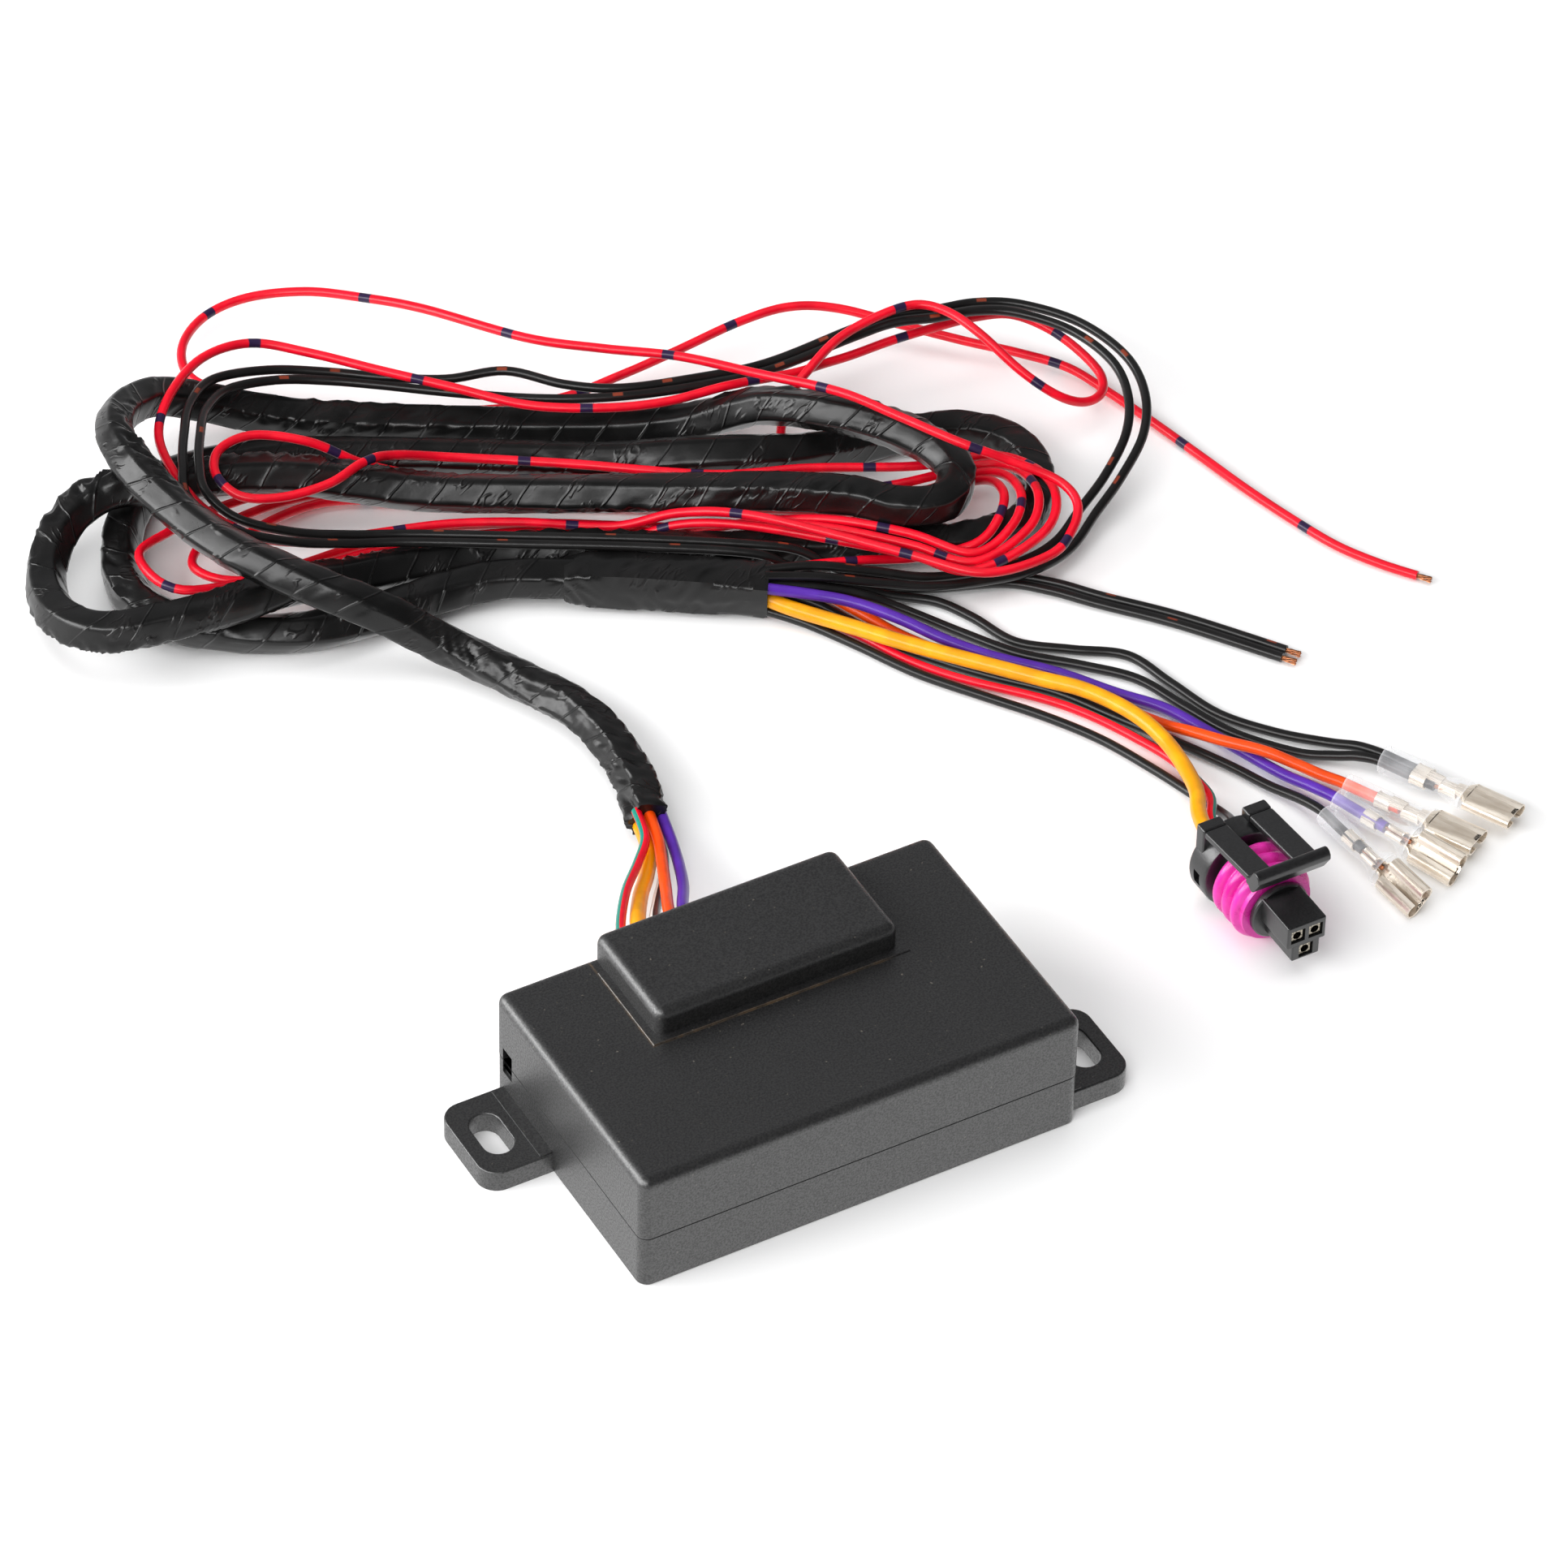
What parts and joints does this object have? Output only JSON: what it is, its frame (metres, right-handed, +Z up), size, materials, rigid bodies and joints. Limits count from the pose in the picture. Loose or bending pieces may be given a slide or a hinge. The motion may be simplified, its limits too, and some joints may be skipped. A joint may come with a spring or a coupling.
{
  "type": "trailer brake controller",
  "caption": "Black snap-together brake controller case with slotted mounting ears, raised hood and a taped wiring harness with loose lead, sealed plug and push-on terminals.",
  "frame": {"origin": "middle of the case's underside", "axes": "+X along the case's long side towards the right ear, +Y to the rear where the wires leave, +Z up"},
  "size_m": [0.275, 0.3084, 0.035],
  "materials": {
    "case_plastic": "fine moulded texture",
    "board_laminate": "solder mask",
    "chip_black": "moulded package",
    "can_sleeve": "shrunk sleeve",
    "shunt_metal": "rolled strip",
    "spreader_metal": "milled",
    "block_plastic": "moulded",
    "grommet_rubber": "moulded",
    "insulation_red": "extruded",
    "insulation_yellow": "extruded",
    "insulation_black": "extruded",
    "insulation_orange": "extruded",
    "insulation_purple": "extruded",
    "loom_tape": "wound tape",
    "bare_copper": "drawn strands",
    "plug_plastic": "moulded",
    "seal_rubber": "moulded",
    "wire_seal_rubber": "moulded",
    "contact_metal": "tin plated",
    "terminal_tin": "tin plated",
    "clear_sleeve": "clear extruded tube"
  },
  "bodies": {
    "unit": {"base_tray": "case_plastic", "top_cover": "case_plastic", "circuit_board": "board_laminate", "power_transistors": "chip_black", "storage_capacitors": "can_sleeve", "control_chip": "chip_black", "motion_sensor": "chip_black", "current_shunt": "shunt_metal", "heat_spreader": "spreader_metal", "terminal_block": "block_plastic", "wire_grommet": "grommet_rubber", "pigtail_red": "insulation_red", "pigtail_yellow": "insulation_yellow", "pigtail_black": "insulation_black", "pigtail_orange": "insulation_orange", "pigtail_purple": "insulation_purple", "loom": "loom_tape", "joint_tape": "loom_tape", "red_lead": "insulation_red", "black_lead_1": "insulation_black", "black_lead_2": "insulation_black", "lead_strands": "bare_copper", "wire_twin_1": "insulation_black", "wire_twin_2": "insulation_black", "wire_orange": "insulation_orange", "wire_purple": "insulation_purple", "wire_black": "insulation_black", "wire_yellow": "insulation_yellow", "wire_red": "insulation_red", "wire_plug_black": "insulation_black", "plug_housing": "plug_plastic", "plug_seal": "seal_rubber", "plug_contacts": "contact_metal", "plug_wire_seals": "wire_seal_rubber", "terminal_1": "terminal_tin", "terminal_2": "terminal_tin", "terminal_3": "terminal_tin", "terminal_4": "terminal_tin", "sleeve_1": "clear_sleeve", "sleeve_2": "clear_sleeve", "sleeve_3": "clear_sleeve", "sleeve_4": "clear_sleeve"},
    "latch": {"plug_latch": "plug_plastic"}
  },
  "joints": [
    {"name": "latch_lift", "type": "hinge", "parent": "unit", "child": "latch", "pos_m": [0.1126, 0.0115, 0.021], "axis": [-1, 0, 0], "range_deg": [0, 6], "stiffness_Nm_per_rad": 0.5}
  ]
}
